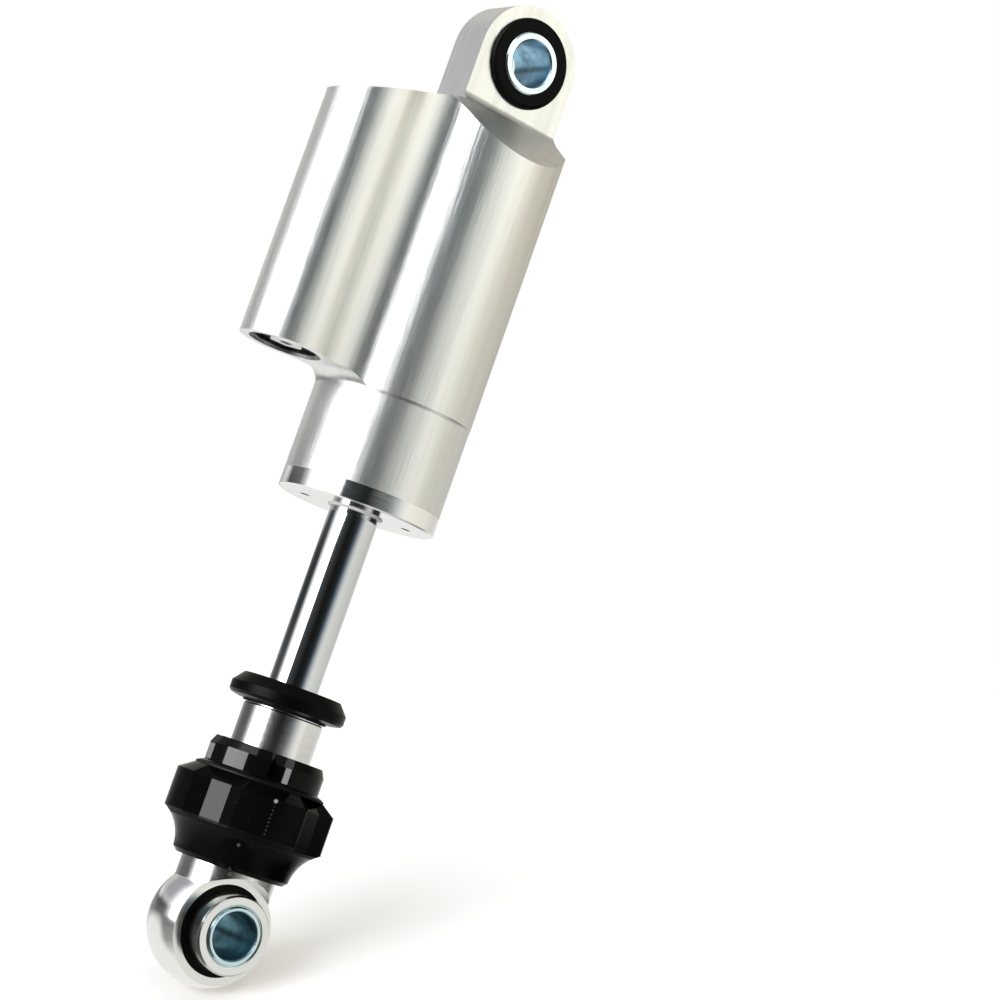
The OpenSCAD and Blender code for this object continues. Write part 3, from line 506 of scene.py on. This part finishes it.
def floor(normal, forward):
    """Pale ground under the lower eye; it fades out at its rim and shows only from above"""
    lowest = 0.0
    for name in ("rod_end", "front_spacer", "rear_spacer"):
        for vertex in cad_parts[name].data.vertices:
            lowest = min(lowest, vertex.co.dot(normal))
    foot = Vector((0.03, 0, LOWER_EYE))
    centre = foot + normal * (lowest - 0.0004 - normal.dot(foot))
    across = normal.cross(forward).normalized()
    along = across.cross(normal)
    rings, spokes = 8, 48
    verts = [centre]
    faces = []
    for i in range(1, rings + 1):
        for k in range(spokes):
            a = 2 * math.pi * k / spokes
            r = GROUND_RADIUS * i / rings
            verts.append(centre + across * (r * math.cos(a)) + along * (r * math.sin(a)))
    for k in range(spokes):
        faces.append((0, 1 + k, 1 + (k + 1) % spokes))
    for i in range(rings - 1):
        low = 1 + i * spokes
        for k in range(spokes):
            n = (k + 1) % spokes
            faces.append((low + k, low + spokes + k, low + spokes + n, low + n))
    data = bpy.data.meshes.new("ground")
    data.from_pydata(verts, [], faces)
    if data.polygons[0].normal.dot(normal) < 0:
        data.flip_normals()
    ob = bpy.data.objects.new("ground", data)
    scene.collection.objects.link(ob)
    ob.visible_glossy = False

    made = bpy.data.materials.new("pale_ground")
    made.use_nodes = True
    tree = made.node_tree
    g = Graph(tree)
    tree.nodes.remove(tree.nodes["Principled BSDF"])
    out = tree.nodes["Material Output"]
    base = g.add("BsdfDiffuse")
    grain = g.noise(g.place(), 900.0, 3.0)
    g.put(base.inputs["Color"], g.mix(grain, (0.71, 0.75, 0.82), (0.73, 0.77, 0.84)))
    glow = g.add("Emission")
    rays = g.add("LightPath")
    glow.inputs["Color"].default_value = (*GROUND_GLOW, 1)
    g.put(glow.inputs["Strength"], rays.outputs["Is Camera Ray"])
    both = g.add("AddShader")
    g.put(both.inputs[0], base.outputs[0])
    g.put(both.inputs[1], glow.outputs[0])
    clear = g.add("BsdfTransparent")
    from_centre = g.add("VectorMath", operation="DISTANCE")
    g.put(from_centre.inputs[0], g.place())
    from_centre.inputs[1].default_value = centre
    rim = g.fit(from_centre.outputs["Value"], GROUND_RADIUS * 0.55, GROUND_RADIUS * 0.97, 0.0, 1.0, True)
    hidden = g.math("MAXIMUM", rim, g.add("NewGeometry").outputs["Backfacing"])
    mixed = g.add("MixShader")
    g.put(mixed.inputs[0], hidden)
    g.put(mixed.inputs[1], both.outputs[0])
    g.put(mixed.inputs[2], clear.outputs[0])
    g.put(out.inputs["Surface"], mixed.outputs[0])
    data.materials.append(made)


picture_up, forward = camera()
# The ground as the photograph shows it: the damper stands on it leaning
tilt = math.radians(GROUND_TILT)
ground_normal = (picture_up * math.cos(tilt) - forward * math.sin(tilt)).normalized()
environment(ground_normal)
floor(ground_normal, forward)
enamel_lamp(ENAMEL_POWER)
lamp("key", (-0.95, -0.30, -0.22), (0.0, 0.0, -0.15), 0.7, 0.8, KEY_POWER)
lamp("top", (-0.15, -0.25, 0.95), (0.0, 0.0, -0.15), 0.8, 0.8, TOP_POWER)

dress(satin_body(), "main_body")
dress(turned_metal("polished_flange", (0.90, 0.90, 0.87), (0.86, 0.86, 0.84), 0.05, 0.08, depth=0.05),
      "gland_head")
dress(rod_end_metal(), "rod_end")
dress(turned_metal("turned_spacer", (0.85, 0.85, 0.83), (0.80, 0.80, 0.79), 0.09, 0.14,
                   LOWER_EYE, 1500, 0.04),
      "front_spacer", "rear_spacer")
dress(chrome(), "piston_rod")
# The last colour is the bore's painted shade, much darker in the lower sleeve
dress(zinc("zinc_upper", 0.0, (0.34, 0.60, 0.78)), "upper_sleeve")
dress(zinc("zinc_lower", LOWER_EYE, (0.11, 0.29, 0.36)), "lower_sleeve")
dress(gloss_black("knob_enamel", True, 0.048), "adjuster_knob")
dress(gloss_black("crown_enamel", False, 0.085), "knob_crown")
dress(rubber("bush_rubber", (0.0018, 0.0018, 0.0017), 0.30, 0.42, 2200.0, 0.10),
      "upper_rubber_bush", "lower_rubber_bush")
dress(rubber("bump_rubber", (0.0015, 0.0015, 0.0014), 0.24, 0.34, 1500.0, 0.14),
      "bump_stop", "top_out_bumper")
dress(rubber("seal_rubber", (0.005, 0.005, 0.005), 0.22, 0.34, 2600.0, 0.06),
      "gland_o_ring", "rod_seal", "end_cap_o_ring", "floating_piston_ring", "spindle_o_ring")
# The wiper's light grey is painted highlight: it shows the bright line at the wiper's edge
dress(rubber("wiper_plastic", (0.42, 0.42, 0.40), 0.20, 0.30, 2200.0, 0.05), "rod_wiper")
dress(rubber("washer_plastic", (0.005, 0.005, 0.005), 0.42, 0.55, 1800.0, 0.08), "bump_washer")
dress(black_anodised(), "reservoir_end_cap", "floating_piston")
dress(turned_metal("bright_spring_steel", (0.66, 0.66, 0.65), (0.58, 0.58, 0.58), 0.14, 0.24),
      "gas_plug", "detent_spring", "knob_circlip")
dress(turned_metal("blackened_spring_steel", (0.10, 0.10, 0.10), (0.06, 0.06, 0.06), 0.18, 0.30),
      "reservoir_circlip")
dress(turned_metal("ground_steel", (0.60, 0.61, 0.62), (0.52, 0.53, 0.54), 0.20, 0.32),
      "top_out_plate", "rebound_shims", "compression_shims", "piston_nut", "detent_ball", "index_pin",
      "drive_pin", "needle_rod")
dress(turned_metal("turned_brass", (0.80, 0.64, 0.34), (0.72, 0.56, 0.28), 0.16, 0.28),
      "piston", "adjuster_spindle")
dress(turned_metal("oiled_bronze", (0.58, 0.44, 0.29), (0.46, 0.34, 0.22), 0.30, 0.45, None, 1400, 0.2),
      "piston_band", "rod_guide_bush")

scene.view_settings.view_transform = "Standard"
